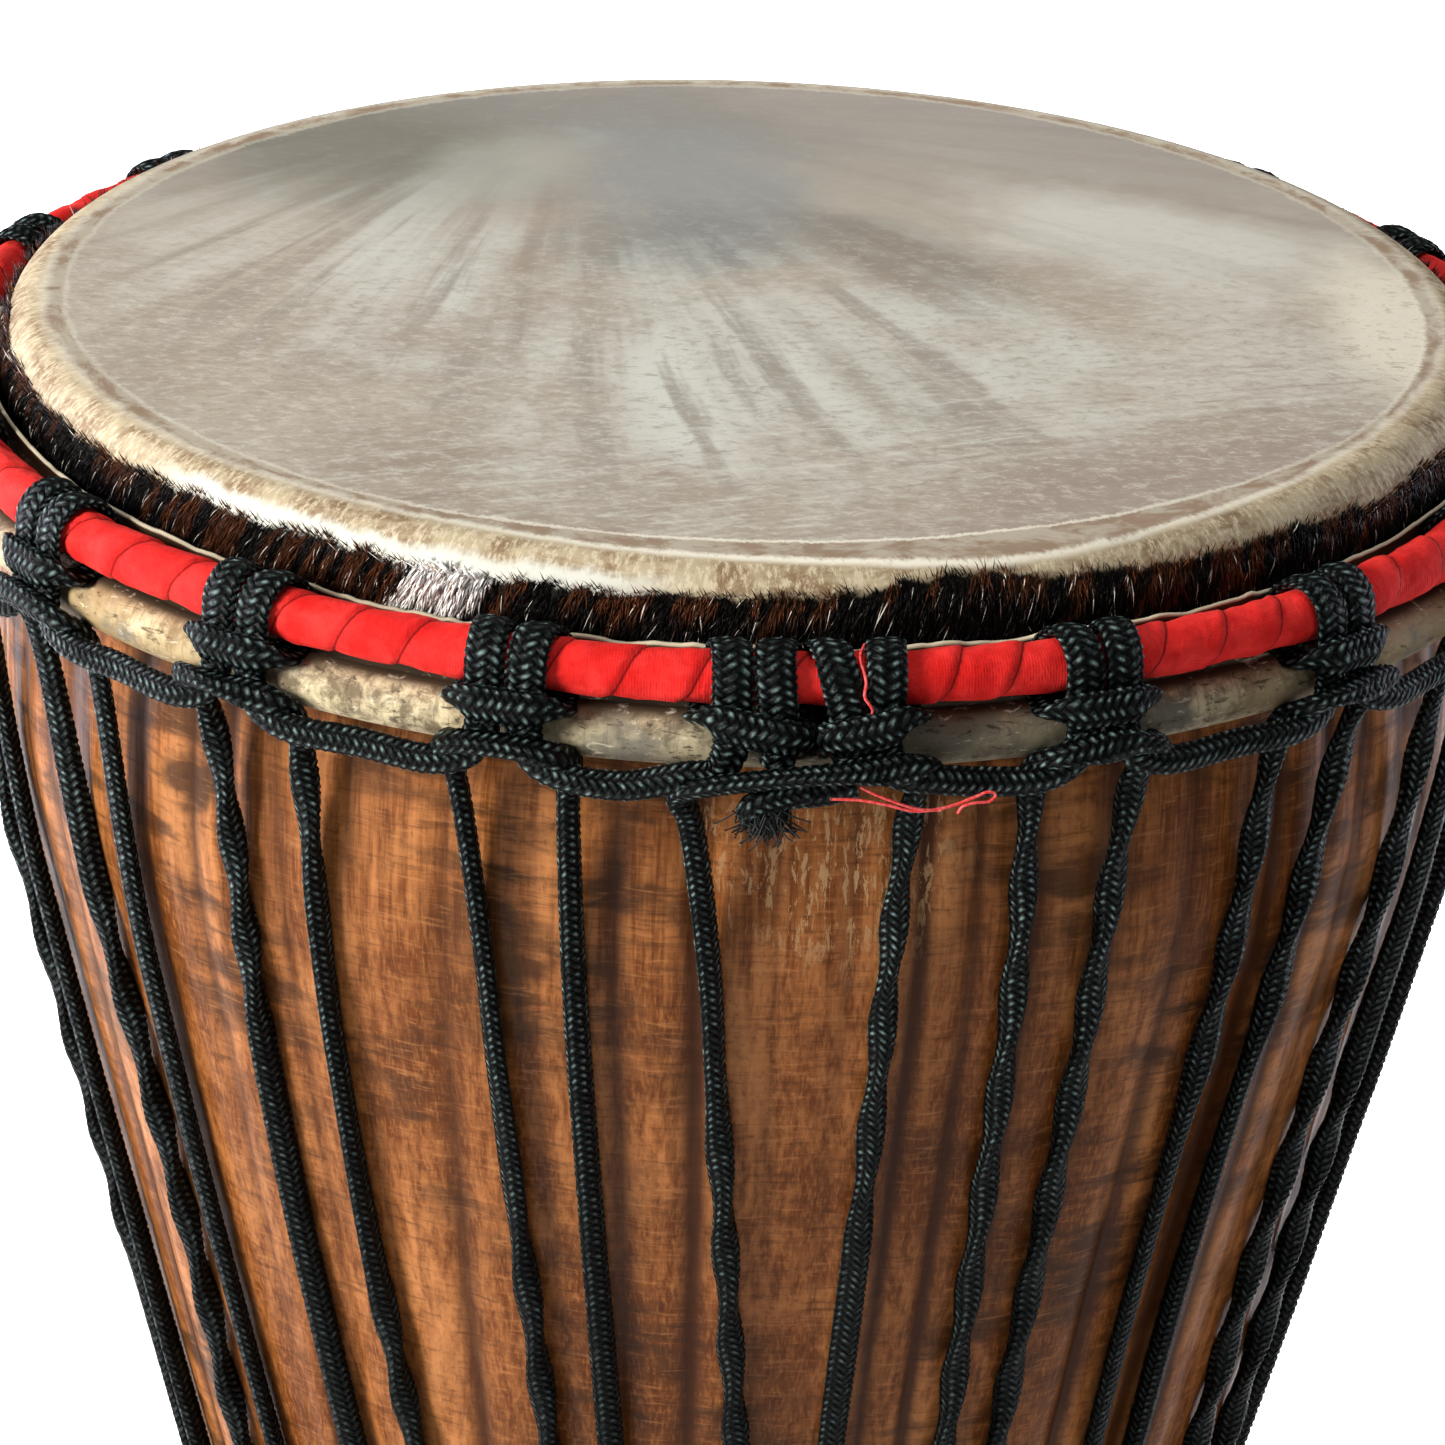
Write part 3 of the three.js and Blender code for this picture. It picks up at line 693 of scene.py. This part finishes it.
# ---------- ropes ----------
def both_halves(half, ring, angle, up, shift=0.0, stretch=1.0, lift=0.0, askew=None, fall=(0.0, 0.0)):
    """Points of a knot, left to right. up is -1 on the crown ring and 1 on the bottom ring; fall is an extra
    drop, and how much of it each millimetre along the ring adds."""
    sides = []
    for sign in (-1, 1):
        points = []
        for s, out, drop in half:
            along = sign * s * stretch
            more = fall[0] + fall[1] * along
            if askew:
                slope, *leans = askew
                more = (1.0 + slope * along) * smooth(3.5, 6.0, drop) * smooth(2.0, 4.0, out)
                along += leans[(sign + 1) // 2] * np.clip(-drop / 6, -1, 1)
            points.append(polar(angle + (along + shift) / ring[0], ring[0] + out + lift,
                                ring[1] + up * (drop + more)))
        sides.append(points)
    return sides[0][::-1] + sides[1][1:]


def top_knot(k):
    return FIRST_KNOT + k * PITCH


def bottom_knot(k):
    """A bottom hitch's angle, level all round but for the ones that have crept together near the front."""
    angle = top_knot(k) + PITCH / 2 + SLANT
    from_front = (angle + math.pi) % TAU - math.pi
    swing = min(max(GATHER_RATE * (GATHER_ABOUT - from_front), -math.pi), math.pi)
    return angle + GATHER * math.sin(swing)


def cradle_path(ring, up, knot_angle, split_first):
    """A hitch at every knot and a swag between neighbours; the two ends lie at the first knot."""
    points = []
    offset = DOUBLE_OFFSET if split_first else 0
    swag = lambda angle, slack=0.0: polar(angle, ring[0] + SWAG[0], ring[1] + up * (SWAG[1] + slack))
    end = (4.1, 6.6, 15.5)  # the ends are tucked behind the lacing
    for k in range(KNOTS):
        angle = knot_angle(k)
        tied = split_first and k == 0
        points += both_halves(HITCH, ring, angle, up, 0 if k else offset, askew=ASKEW[1] if tied else None)
        if tied:
            tuck = polar(angle + (offset - end[0]) / ring[0], ring[0] + end[1], ring[1] + up * end[2])
            points = [tuck] + points[2:]
        if k < KNOTS - 1:
            points.append(swag((angle + knot_angle(k + 1)) / 2 + (0 if k else offset / 2 / ring[0])))
    last = knot_angle(0) + TAU
    last_swag = (last + knot_angle(KNOTS - 1)) / 2
    points.append(swag(last_swag - offset / 2 / ring[0], SLACK if split_first else 0))
    if split_first:
        points += both_halves(HITCH, ring, last, up, -offset, askew=ASKEW[-1])[:-2]
        points.append(polar(last + (end[0] - offset) / ring[0], ring[0] + end[1], ring[1] + up * end[2]))
    else:
        points.append(swag(last - 17.5 / ring[0]))
    return points


# Degrees by which the lacing runs left and right of a knot are pushed over half way down.
NUDGES = {-3: (2.0, -1.2), -2: (-1.8, -1.8), -1: (-0.3, -0.5), 0: (-0.5, 0.2), 1: (-0.3, -0.3), 2: (-1.4, -2.4),
          3: (-2.8, -2.0)}


def on_bowl(angle, depth):
    """The middle of a lacing run that lies on the bowl."""
    return polar(angle, hermite(OUTSIDE, depth) + ROPE + 0.1, HEIGHT - depth)


def run(start, end, k, side):
    """A lacing run down the bowl beside knot k, between its angles at the crown ring and the bottom ring."""
    points = []
    nudge = math.radians(NUDGES.get((k + 9) % KNOTS - 9, (0, 0))[side])
    for depth in (82, 106, 130, 160, 190, 220, 250, 278, RUN_END):
        down = (depth - RING_DEPTH) / RINGS_APART
        angle = start + (end - start) * down + nudge * math.sin(math.pi * min(down, 1)) ** 1.5
        points.append(on_bowl(angle, depth))
    return points


def lacing_path():
    """Up and down through the cradles all round, then the spare end wound on the waist."""
    half = PITCH / 2 - PAIR
    points = [on_bowl(bottom_knot(-1) + half, RUN_END)]
    points += run(top_knot(0) - DOUBLE_PAIR, bottom_knot(-1) + half, 0, 0)[::-1][1:]
    for k in range(KNOTS):
        pair = PAIR if k else DOUBLE_PAIR
        if k:
            points += both_halves(TURN, CROWN, top_knot(k), -1)
        else:
            points += both_halves(TURN, CROWN, top_knot(k), -1, stretch=1.9, lift=0.8, fall=(1.7, -0.11))
        points += run(top_knot(k) + pair, bottom_knot(k) - half, k, 1)
        if k == KNOTS - 1:
            break
        points += both_halves(TURN, BOTTOM, bottom_knot(k), 1)
        points += run(top_knot(k + 1) - PAIR, bottom_knot(k) + half, k + 1, 0)[::-1]
    points += both_halves(WAY_TO_WAIST, BOTTOM, bottom_knot(KNOTS - 1), 1)[:len(WAY_TO_WAIST)]
    start = bottom_knot(KNOTS - 1) - math.radians(2)
    for turned in np.linspace(0, 3, 90):
        depth = 368 + turned * 5.5
        points.append(polar(start + turned * TAU, hermite(OUTSIDE, depth) + 1.1 * ROPE, HEIGHT - depth))
    return points


def near_ring(points, ring):
    """Direction away from the middle of the nearest ring, and the distance from it."""
    out = np.linalg.norm(points[..., :2], axis=-1)
    outward = np.concatenate([points[..., :2] / out[..., None], np.zeros_like(out)[..., None]], -1)
    away = outward * (out - ring[0])[..., None]
    away[..., 2] = points[..., 2] - ring[1]
    return unit(away), np.linalg.norm(away, axis=-1)


def braid(around, along):
    """Height from 0 to 1 of a braid whose strands float over two others; both arguments count strands."""
    a, b = around + along, around - along
    i, j = np.floor(a), np.floor(b)
    place = (i + j) % 4
    over = place < 2
    across = np.where(over, a - i, b - j)
    length = np.where(over, place + b - j, place - 2 + a - i) / 2
    return np.sin(math.pi * across) ** 0.7 * (0.3 + 0.7 * np.sin(math.pi * length) ** 0.6)


def braided_rope(name, route, replaces, rings, seed, step=0.62, sides=24, twist=0.0):
    """A braided rope along a route. It is pulled flat where it is drawn over a ring, and
    turns over here and there where it runs free."""
    path, s = even(route, step)
    tangent, across, side = carried_frames(path)
    turn = np.arange(sides) * TAU / sides
    lift = braid(STRANDS * turn[None, :] / TAU, s[:, None] / PICK)
    offset = (ROPE * (0.88 + 0.21 * lift))[..., None] * circles(across, side, sides)
    outward = unit(path * (1, 1, 0))
    around = np.cross(tangent, outward)
    slow = wander(s / s[-1], max(int(s[-1] / 130), 2), seed)
    roll = twist * (np.cumsum(smooth(0.45, 0.6, slow)) * step / 8 + 2 * (slow - 0.5))
    flat = outward * np.cos(roll)[:, None] + around * np.sin(roll)[:, None]
    from_ring = np.full(len(path), 99.0)
    for ring in rings:
        away, distance = near_ring(path, ring)
        near = smooth(11, 8.5, distance)
        flat = flat * (1 - near)[:, None] + away * near[:, None]
        from_ring = np.minimum(from_ring, distance)
    reach = int(2.5 / step)
    kernel = np.hanning(2 * reach + 3)[1:-1]
    flat = np.stack([np.convolve(np.pad(flat[:, i], reach, "edge"), kernel, "valid") for i in range(3)], -1)
    flat = unit(flat - (flat * tangent).sum(-1, keepdims=True) * tangent)[:, None]
    wide = np.cross(tangent[:, None], flat)
    thin_part = (offset * flat).sum(-1, keepdims=True) * flat
    wide_part = (offset * wide).sum(-1, keepdims=True) * wide
    thinned = np.interp(from_ring, (7, 9.5, 12, 17, 23), (0.46, 0.64, 0.72, 0.78, 0.76))[:, None, None]
    widened = np.interp(from_ring, (8, 12, 17, 23), (1.50, 1.42, 1.24, 1.12))[:, None, None]
    vertices = path[:, None] + thinned * thin_part + widened * wide_part
    for ring in rings:
        away, distance = near_ring(vertices, ring)
        vertices = vertices + away * np.maximum(CLOTH_RADIUS + 0.12 - distance, 0)[..., None]
    faces, uv = quads(len(path), sides, False, True, s / PICK, np.append(turn, TAU) / TAU * STRANDS)
    faces = faces[:, ::-1].tolist()
    uv = np.vstack([uv.reshape(-1, 4, 2)[:, ::-1].reshape(-1, 2), np.zeros((2 * sides, 2))])
    caps = tube_caps(len(path), sides)
    make_piece(name, vertices.reshape(-1, 3), faces + caps, CORD, replaces, uv)


def tube_caps(count, sides, first=0):
    """The two end faces of a tube of so many rings, from its first vertex."""
    last = first + (count - 1) * sides
    return [list(range(first, first + sides)), list(range(last + sides - 1, last - 1, -1))]


def loose_fibres(name, routes, radius, material):
    """Thin round fibres along routes of (along, out, drop) in mm from the first knot."""
    sides = 6
    vertices, faces, first = [], [], 0
    for route in routes:
        path, _ = even(by_first_knot(route), 0.5)
        _, across, side = carried_frames(path)
        vertices.append((path[:, None] + radius * circles(across, side, sides)).reshape(-1, 3))
        tube, _ = quads(len(path), sides, False, True, np.arange(len(path) + 1), np.arange(sides + 1))
        faces += (tube[:, ::-1] + first).tolist() + tube_caps(len(path), sides, first)
        first += len(path) * sides
    make_piece(name, np.vstack(vertices), faces, material)


def frayed_threads():
    """Loose red threads pulled from the crown ring's cloth beside the first knot: a long curled one, a
    shorter one and a fibre between two strands of the knot."""
    routes = [
        ((3.9, 11.8, 20.0), (9, 12.0, 20.2), (14, 12.3, 21.2), (19, 12.2, 22.8), (25, 11.6, 22.7),
         (30, 11.4, 21.2), (33, 11.3, 20.2), (34.4, 11.4, 20.8), (33.2, 11.7, 22.0), (30.5, 11.9, 22.0),
         (28, 12, 22.6), (27.2, 12, 24.0)),
        ((9.2, 11.6, 17.6), (11, 12.0, 18.6), (15, 12.5, 20.4), (20, 12.4, 22.4), (24, 12, 23.0)),
        ((10.9, -1.2, -6.4), (9.4, 3.2, -5.6), (10.2, 6.8, -2.0), (9.9, 7.9, 0.6), (11.4, 8.3, 3.2),
         (11.0, 8.2, 4.6)),
    ]
    loose_fibres("frayed_threads", routes, 0.3, THREAD)


def frayed_end():
    """The cradle rope's spare end, teased out into fibres under the first knot."""
    rng = np.random.default_rng(62)
    routes = []
    for _ in range(170):
        start = np.array((-7.8, 9.6, 23.2)) + rng.normal(0, (2.0, 0.8, 0.9))
        way = np.array((0.7 * rng.standard_normal(), 0.35 * rng.random(), 0.8 + 0.6 * rng.random()))
        curl = rng.normal(0, (0.5, 0.25, 0.3))
        routes.append([start, start + 1.5 * way, start + 3.0 * way + curl, start + 3.8 * way + 2.2 * curl])
    loose_fibres("frayed_end", routes, 0.16, FIBRE)


# ---------- cloth on the rings ----------
def wound_cloth(name, ring, node_name, seed):
    """A cloth strip wound in a spiral on a ring, each turn lapping over the last."""
    length = TAU * ring[0]
    around, section = int(length / 0.9), 40
    angle = np.arange(around) * TAU / around
    phi = np.arange(section) * TAU / section
    a, p = np.meshgrid(angle, phi, indexing="ij")
    laps = round(length / 14.5)
    drift = 0.55 * mottle(a / TAU, 0 * a, laps // 2, 1, seed)
    lap = laps * a / TAU + drift - p / TAU
    phase = lap % 1
    ruck = mottle(lap / laps, p / TAU * 3, laps * 5, 7, seed + 1) - 0.5
    slack = mottle(a / TAU, p / TAU, laps * 2, 5, seed + 2) - 0.5
    lap_edge = 0.62 * phase ** 0.5 * (1 - smooth(0.93, 1.0, phase))
    radius = CLOTH_RADIUS - 0.4 + lap_edge + 0.4 * ruck + 0.55 * slack
    out = ring[0] + radius * np.cos(p)
    vertices = polar(a, out, ring[1] + radius * np.sin(p)).reshape(-1, 3)
    faces, uv = quads(around, section, True, True, np.arange(around + 1) / around * laps,
                      np.arange(section + 1) / section)
    make_piece(name, vertices, faces, CLOTH, (node_name,), uv, {"drift": drift.ravel()})


# ---------- skin ----------
def skin_outline():
    """The skin's outside in section, from the middle of the head down the skirt, round the flesh ring and
    up to the trimmed edge, and the number of its points in each of these three parts."""
    under = ROD + 0.35 + SKIN
    head = [(r, HEIGHT) for r in np.concatenate([np.linspace(0, 136, 35), np.linspace(137, HEAD - EDGE, 14)])]
    head += [(HEAD - EDGE + EDGE * math.sin(a), HEIGHT - EDGE + EDGE * math.cos(a))
             for a in np.linspace(0, TAU / 4, 14)[1:]]
    head += [(HEAD, HEIGHT - 12), (HEAD, HEIGHT - 15.5), (HEAD + 0.1, HEIGHT - 18.5),
             (HEAD + 1.5, HEIGHT - 21.5), (HEAD + 4.4, HEIGHT - 25.5)]
    turn = [(FLESH[0] + under * math.cos(a), FLESH[1] + under * math.sin(a))
            for a in np.linspace(math.radians(188), math.radians(450), 50)]
    flap = [(FLESH[0] - 3.9, FLESH[1] + 4.0), (HEAD + 3.2, HEIGHT - 20.4), (HEAD + 1.75, HEIGHT - 17.6),
            (HEAD + 1.9, HEIGHT - 16.0), (HEAD + 2.2, HEIGHT - 14.8), (HEAD + 2.6, HEIGHT - 13.9)]
    return np.array(head + turn + flap), len(head), len(head) + len(turn)


def bump(angle, centre, width):
    """A smooth hump round an angle, both in degrees."""
    away = (np.degrees(angle) - centre + 180) % 360 - 180
    return np.exp(-((away / width) ** 2))


def hair_line(angle):
    """Distance along the skin at which the hair begins."""
    turns = angle / TAU
    return (161.0 - 3.6 * bump(angle, 17, 9) - 0.8 * bump(angle, 40, 8)
            + 1.4 * (wander(turns, 60, 15) - 0.5) + 1.5 * (wander(turns, 240, 16) - 0.5))


# How dark the raw skin is between each knot and the next, from the first knot round.
LUMP_TONES = np.random.default_rng(61).random(KNOTS) * 0.7
LUMP_TONES[[0, 1, 2, -1, -2, -3]] = (0.8, 0.3, 0.15, 0.5, 0.12, 0.0)


def skin_piece():
    """The goatskin, with gathered lumps round the flesh ring and a trimmed edge behind the crown ring."""
    around = 960
    outside, first_turn, last_turn = skin_outline()
    count = len(outside)
    reach = np.concatenate([[0], np.cumsum(np.linalg.norm(np.diff(outside, axis=0), axis=1))])
    tangent = unit(np.gradient(outside, axis=0))
    inwards = np.stack([tangent[:, 1], -tangent[:, 0]], -1)
    bulge = np.zeros(count)
    bulge[first_turn:last_turn] = np.sin(np.linspace(0, math.pi, last_turn - first_turn)) ** 0.6
    edge = np.zeros(count)
    edge[last_turn:] = np.linspace(0, 1, count - last_turn)
    angle = (np.arange(around) + 0.5) * TAU / around - TAU / 2
    turns = angle / TAU
    from_knot = (PITCH / 2 - np.abs((angle - FIRST_KNOT) % PITCH - PITCH / 2)) * FLESH[0]
    a, k = np.meshgrid(turns, np.arange(count), indexing="ij")
    folds = mottle(a, reach[k] / 140, 260, 11, 11) - 0.5
    lump = mottle(a, reach[k] / 200, 75, 9, 12) - 0.4
    # How far round the flesh ring: from the inside, under it, to its top.
    section = np.clip((k - first_turn) / (last_turn - first_turn), 0, 1)
    full = smooth(6, 18 - 6 * section, from_knot[:, None])
    swell = bulge[k] * (full * (1.0 + 1.3 * lump + 0.7 * folds) + 0.35 * folds - 0.75)
    wave = wander(a, 130, 13) + 0.6 * wander(a, 400, 17) - 0.8
    curl = wander(a, 43, 14) - 0.5
    radius = outside[k, 0] - swell * inwards[k, 0] + edge[k] ** 2 * (0.7 * wave + 1.3 * curl)
    height = outside[k, 1] - swell * inwards[k, 1] + edge[k] ** 2 * (1.3 * wave + 1.1 * curl)
    thick = SKIN * 0.8
    under_radius = radius + thick * inwards[k, 0] + swell * inwards[k, 0]
    under_height = height + thick * inwards[k, 1] + swell * inwards[k, 1]
    under_radius[:, 0] = 0
    under = polar(a * TAU, under_radius, under_height)[:, ::-1]
    grid = np.concatenate([polar(a * TAU, radius, height), under], 1)
    all_reach = np.concatenate([reach, reach[::-1]])
    faces, uv = quads(around, grid.shape[1], True, False, np.arange(around + 1) / around * 1000, all_reach)
    per_angle = {
        "score_a": 142 + 4.5 * (1 - bump(angle, 15, 50)) + 0.8 * (wander(turns, 24, 18) - 0.5),
        "score_b": 151 - 2.5 * bump(angle, -25, 18) + 3.4 * bump(angle, 21, 12) - 3 * bump(angle, 62, 20),
        "lip": hair_line(angle),
        "scored": 0.3 + 0.7 * bump(angle, 8, 36),
        "raw_tone": LUMP_TONES[np.floor((angle - FIRST_KNOT) / PITCH).astype(int) % KNOTS],
        "tuft": smooth(3.8, 2.6, np.abs(np.degrees(angle) + 21.2)),
        "strip": smooth(-50, -42, np.degrees(angle)) * smooth(-2, -10, np.degrees(angle)),
    }
    values = {key: np.repeat(value, grid.shape[1]) for key, value in per_angle.items()}
    values["reach"] = np.tile(all_reach, around)
    values["edge"] = np.tile(np.concatenate([edge, edge[::-1]]), around)
    make_piece("goatskin_head", grid.reshape(-1, 3), faces, HIDE, ("drumhead_skin",), uv, values)


def hair_piece():
    """Short goat hair left on the skirt, in tufts: mostly black, brown in parts, white in one place."""
    rng = np.random.default_rng(21)
    count = HAIRS
    angle = (rng.random(count) - 0.5) * TAU
    start = hair_line(angle)
    reach = start - 0.7 + 13 * rng.random(count) ** 1.1
    bend = np.clip((reach - (HEAD - EDGE)) / EDGE, 0, TAU / 4)
    depth = EDGE * (1 - np.cos(bend)) + np.maximum(reach - (HEAD - EDGE) - EDGE * TAU / 4, 0)
    out = HEAD - EDGE + EDGE * np.sin(bend) + np.interp(depth, (0, 18.5, 21.5), (0, 0.1, 1.5))
    outward, sideways = polar(angle, 1.0, 0.0), polar(angle + TAU / 4, 1.0, 0.0)
    up = np.array((0, 0, 1.0))
    normal = outward * np.sin(bend)[:, None] + up * np.cos(bend)[:, None]
    down = outward * np.cos(bend)[:, None] - up * np.sin(bend)[:, None]
    root = polar(angle, out, HEIGHT - depth) - 0.2 * normal
    tuft_number = np.floor(angle * HEAD / 2.1 + 0.25 * depth) % 500
    tuft = np.random.default_rng(22).random(500)[tuft_number.astype(int)]
    top = smooth(2.2, 0.0, reach - start)
    raised = (rng.random(count) < 0.30 * top) * 1.0
    lean = -0.38 + 0.4 * (tuft - 0.5) + 0.24 * rng.standard_normal(count)
    fall = unit(down * (1 - 1.6 * raised)[:, None] + sideways * lean[:, None]
                + normal * (0.2 + 0.25 * rng.random(count) + 0.6 * raised)[:, None])
    length = (3.6 + 3.4 * rng.random(count)) * (1 - 0.5 * top)
    middle = root + fall * (0.5 * length)[:, None]
    tip = middle + unit(fall - 0.3 * normal - 0.1 * up) * (0.5 * length)[:, None]
    width = 0.085 + 0.085 * rng.random(count)
    white = np.abs(np.degrees(angle) + 20.6 + 0.28 * (reach - 163)) < 3.0 + 0.5 * (tuft - 0.5)
    width = np.where(white, 2.4 * width, width)
    first = unit(np.cross(fall, normal))
    second = np.cross(fall, first)
    corner = [math.cos(c) * first + math.sin(c) * second for c in (0, TAU / 3, 2 * TAU / 3)]
    vertices = np.stack([root + c * width[:, None] for c in corner]
                        + [middle + c * (0.8 * width)[:, None] for c in corner] + [tip], 1)
    base = np.arange(count)[:, None] * 7
    sides = np.vstack([base + np.array(q) for q in ((0, 1, 4, 3), (1, 2, 5, 4), (2, 0, 3, 5))])
    ends = np.vstack([base + np.array(t) for t in ((3, 4, 6), (4, 5, 6), (5, 3, 6), (2, 1, 0))])
    foxy = bump(angle, -34, 13) + 0.35 * bump(angle, 30, 14)
    brown = (smooth(3.0, 0.3, reach - start) * (tuft > 0.5) + (tuft > 1 - 0.75 * foxy) * 0.8
             + (tuft > 0.97) * 0.6)
    brown = np.clip(brown, 0, 1) * rng.random(count) ** 0.5
    shade = rng.random(count)
    colour = np.outer(1 - brown, (0.004, 0.003, 0.0026)) + np.outer(brown, (0.150, 0.045, 0.014))
    colour = colour * (0.5 + shade[:, None]) + np.outer((shade > 0.975) * 0.75, (0.9, 0.86, 0.76))
    strand_number = np.floor((angle * HEAD + 0.4 * depth) / 0.5) % 1400
    strand = np.random.default_rng(23).random(1400)[strand_number.astype(int)]
    white &= shade < 0.96
    # Grey stripes among the white hairs are a painted shade between their clumps.
    bright = 0.3 + (0.6 + 0.1 * shade) * smooth(0.26, 0.38, strand)
    colour = np.where(white[:, None], np.outer(bright, (1.0, 0.995, 0.96)), colour)
    make_piece("skirt_hair", vertices.reshape(-1, 3), sides.tolist() + ends.tolist(), HAIR,
               colours=np.repeat(colour, 7, 0))


shell_piece()
skin_piece()
hair_piece()
wound_cloth("crown_ring_winding", CROWN, "crown_ring_cloth", 31)
wound_cloth("bottom_ring_winding", BOTTOM, "bottom_ring_cloth", 41)
braided_rope("top_cradle_braid", spline(cradle_path(CROWN, -1, top_knot, True)), ("top_cradle_rope",),
             [CROWN], 51)
braided_rope("cradle_tail", by_first_knot(TAIL), (), [], 54)
frayed_end()
frayed_threads()
braided_rope("bottom_cradle_braid", spline(cradle_path(BOTTOM, 1, bottom_knot, False)), ("bottom_cradle_rope",),
             [BOTTOM], 52, 0.8, 16)
braided_rope("lacing_braid", spline(lacing_path()), ("lacing_rope",), [CROWN, BOTTOM], 53, 0.8, 16, 1.0)
for rod in ("flesh_ring", "crown_ring", "bottom_ring"):
    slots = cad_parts[rod].data.materials
    slots.clear()
    slots.append(STEEL)
